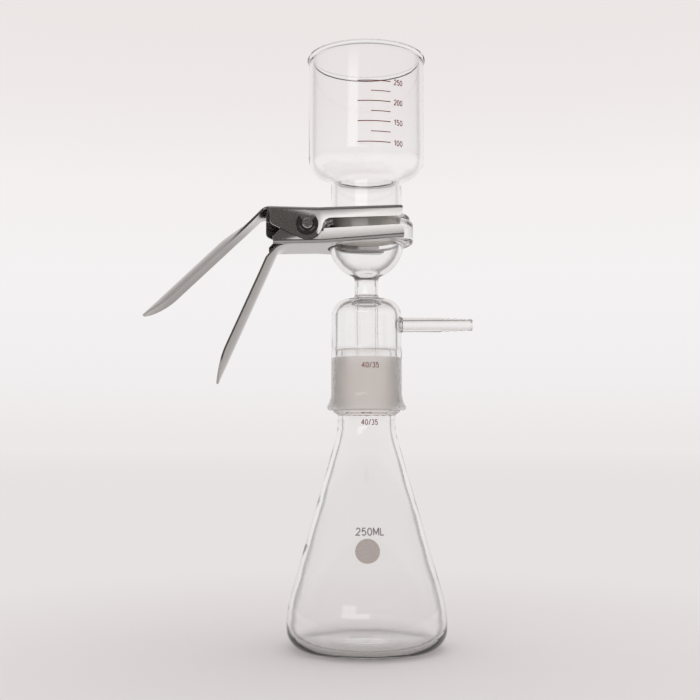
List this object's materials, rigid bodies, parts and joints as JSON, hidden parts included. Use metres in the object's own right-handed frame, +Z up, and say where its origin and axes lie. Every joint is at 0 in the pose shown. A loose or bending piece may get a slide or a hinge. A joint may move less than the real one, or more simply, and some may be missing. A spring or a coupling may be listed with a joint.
{
  "type": "vacuum filtration unit",
  "caption": "Glass vacuum filter: a graduated funnel clamped on a fritted support base with a side arm, standing by a ground joint in a conical receiving flask.",
  "frame": {"origin": "centre of the flask's flat underside, on the surface that the unit stands on", "axes": "+Z up along the common axis of the glass parts; +X along the side arm for the vacuum hose; the clamp's handles point towards -X, turned 7.5 degrees about Z"},
  "size_m": [0.1956, 0.0946, 0.3545],
  "materials": {
    "flask_glass": "clear, with a frosted ground cone at the neck",
    "base_glass": "clear, with a frosted ground bore in the socket",
    "funnel_glass": "clear, fire polished, with printed graduations",
    "frit": "sintered, matt",
    "clamp_steel": "satin",
    "pin_steel": "turned",
    "clip_steel": "blackened, satin",
    "spring_steel": "drawn wire"
  },
  "bodies": {
    "glass_and_upper_lever": {"flask": "flask_glass", "support_base": "base_glass", "fritted_disc": "frit", "funnel": "funnel_glass", "upper_clamp_lever": "clamp_steel", "pivot_pin": "pin_steel", "front_retaining_clip": "clip_steel", "rear_retaining_clip": "clip_steel", "torsion_spring": "spring_steel"},
    "lower_lever": {"lower_clamp_lever": "clamp_steel"}
  },
  "joints": [
    {"name": "clamp_hinge", "type": "hinge", "parent": "glass_and_upper_lever", "child": "lower_lever", "pos_m": [-0.03777, -0.00497, 0.24705], "axis": [-0.1305, 0.9914, 0], "range_deg": [0, 20], "stiffness_Nm_per_rad": 0.6, "springref_deg": -34.38, "deforming": ["torsion_spring"]}
  ]
}
